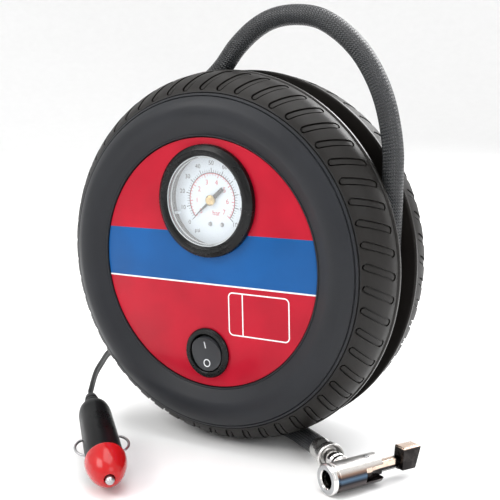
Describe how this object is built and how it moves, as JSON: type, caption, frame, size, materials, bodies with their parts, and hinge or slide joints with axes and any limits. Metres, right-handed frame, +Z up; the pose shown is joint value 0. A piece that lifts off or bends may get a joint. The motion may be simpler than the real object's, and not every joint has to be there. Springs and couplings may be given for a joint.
{
  "type": "portable tire inflator",
  "caption": "Portable air pump in a case shaped like a small car tyre, with a gauge, a rocker switch, an air hose with a thumb-lock chuck and a lighter plug on its cord.",
  "frame": {"origin": "on the floor under the wheel's centre, midway between its two outermost sides", "axes": "+Z up, +Y from the dial face to the back along the wheel's axis, +X to the right of the dial face"},
  "size_m": [0.2298, 0.2174, 0.205],
  "materials": {
    "tyre_black": "satin black moulding",
    "black_plastic": "smooth black plastic",
    "plate_red": "printed red plate under clear gloss",
    "plug_red": "red gloss plastic",
    "chrome": "bright plating",
    "steel": "bright steel",
    "brass": "turned brass",
    "aluminium": "cast aluminium",
    "nylon": "natural nylon",
    "rubber": "black rubber",
    "braid": "dark braided cover",
    "dial_white": "white printed dial",
    "clear_plastic": "clear plastic",
    "glass": "clear"
  },
  "bodies": {
    "case": {"air_hose": "braid", "air_tube": "rubber", "chuck_body": "chrome", "chuck_lever_pin": "steel", "chuck_neck": "chrome", "chuck_seal": "rubber", "cord_gland": "rubber", "cord_tie": "black_plastic", "cylinder_head": "aluminium", "face_plate": "plate_red", "front_housing": "tyre_black", "gauge_bezel": "black_plastic", "gauge_case": "clear_plastic", "gauge_dial": "dial_white", "gauge_lens": "glass", "gauge_movement": "brass", "gauge_stop_pin_left": "steel", "gauge_stop_pin_right": "steel", "gauge_tube": "rubber", "gear_axle": "steel", "gearbox_frame": "steel", "hose_ferrule": "chrome", "hose_outlet": "black_plastic", "housing_screw_1": "steel", "housing_screw_2": "steel", "housing_screw_3": "steel", "motor_can": "steel", "motor_end_cap": "nylon", "outlet_valve_cap": "brass", "outlet_valve_spring": "steel", "plug_body": "black_plastic", "plug_nose": "plug_red", "plug_relief": "rubber", "power_cord_coil": "rubber", "power_cord_inner": "rubber", "power_cord_outer": "rubber", "pump_cylinder": "aluminium", "rear_housing": "tyre_black", "supply_wire": "plug_red", "switch_body": "black_plastic", "switch_terminal_lower": "brass", "switch_terminal_upper": "brass"},
    "needle": {"gauge_needle": "black_plastic", "gauge_needle_hub": "brass"},
    "rocker": {"switch_rocker": "black_plastic"},
    "rotor": {"motor_rotor": "steel", "motor_pinion": "brass"},
    "gear": {"drive_gear": "nylon"},
    "piston_set": {"piston": "aluminium", "piston_seal": "rubber", "piston_pin": "steel", "connecting_rod": "aluminium", "crank_pin": "steel"},
    "valve": {"outlet_valve_disc": "rubber"},
    "lever": {"chuck_lever": "chrome"},
    "plunger": {"chuck_plunger": "brass"},
    "tip": {"plug_tip": "steel", "plug_fuse": "glass"},
    "contact_left": {"plug_contact_left": "steel"},
    "contact_right": {"plug_contact_right": "steel"}
  },
  "joints": [
    {"name": "needle_turn", "type": "hinge", "parent": "case", "child": "needle", "pos_m": [0.002, -0.026, 0.11865], "axis": [0, 1, 0], "range_deg": [0, 260], "stiffness_Nm_per_rad": 0.0002},
    {"name": "rocker_tilt", "type": "hinge", "parent": "case", "child": "rocker", "pos_m": [0, -0.0292, 0.04655], "axis": [-1, 0, 0], "range_deg": [0, 16]},
    {"name": "rotor_spin", "type": "hinge", "parent": "case", "child": "rotor", "pos_m": [0, 0.003, 0.06655], "axis": [1, 0, 0], "continuous": true},
    {"name": "gear_spin", "type": "hinge", "parent": "case", "child": "gear", "pos_m": [0.0078, 0.003, 0.08905], "axis": [1, 0, 0], "continuous": true},
    {"name": "piston_slide", "type": "slide", "parent": "case", "child": "piston_set", "axis": [0, 0, 1], "range_m": [0, 0.014]},
    {"name": "valve_lift", "type": "slide", "parent": "case", "child": "valve", "axis": [0, 0, 1], "range_m": [0, 0.001], "stiffness_N_per_m": 200},
    {"name": "lever_swing", "type": "hinge", "parent": "case", "child": "lever", "pos_m": [0.08428, -0.03419, 0.0071], "axis": [0, 0, -1], "range_deg": [0, 90]},
    {"name": "plunger_slide", "type": "slide", "parent": "case", "child": "plunger", "axis": [-0.4631, -0.8863, 0], "range_m": [0, 0.002]},
    {"name": "tip_press", "type": "slide", "parent": "case", "child": "tip", "axis": [-0.7243, 0.6674, 0.1733], "range_m": [0, 0.002], "stiffness_N_per_m": 600},
    {"name": "contact_left_press", "type": "slide", "parent": "case", "child": "contact_left", "axis": [0.6777, 0.7354, 0], "range_m": [0, 0.0015], "stiffness_N_per_m": 500},
    {"name": "contact_right_press", "type": "slide", "parent": "case", "child": "contact_right", "axis": [-0.6777, -0.7354, 0], "range_m": [0, 0.0015], "stiffness_N_per_m": 500}
  ],
  "couplings": [
    {"joint": "gear_spin", "follows": "rotor_spin", "ratio": -0.33333},
    {"joint": "plunger_slide", "follows": "lever_swing", "m_per_rad": 0.00127}
  ]
}
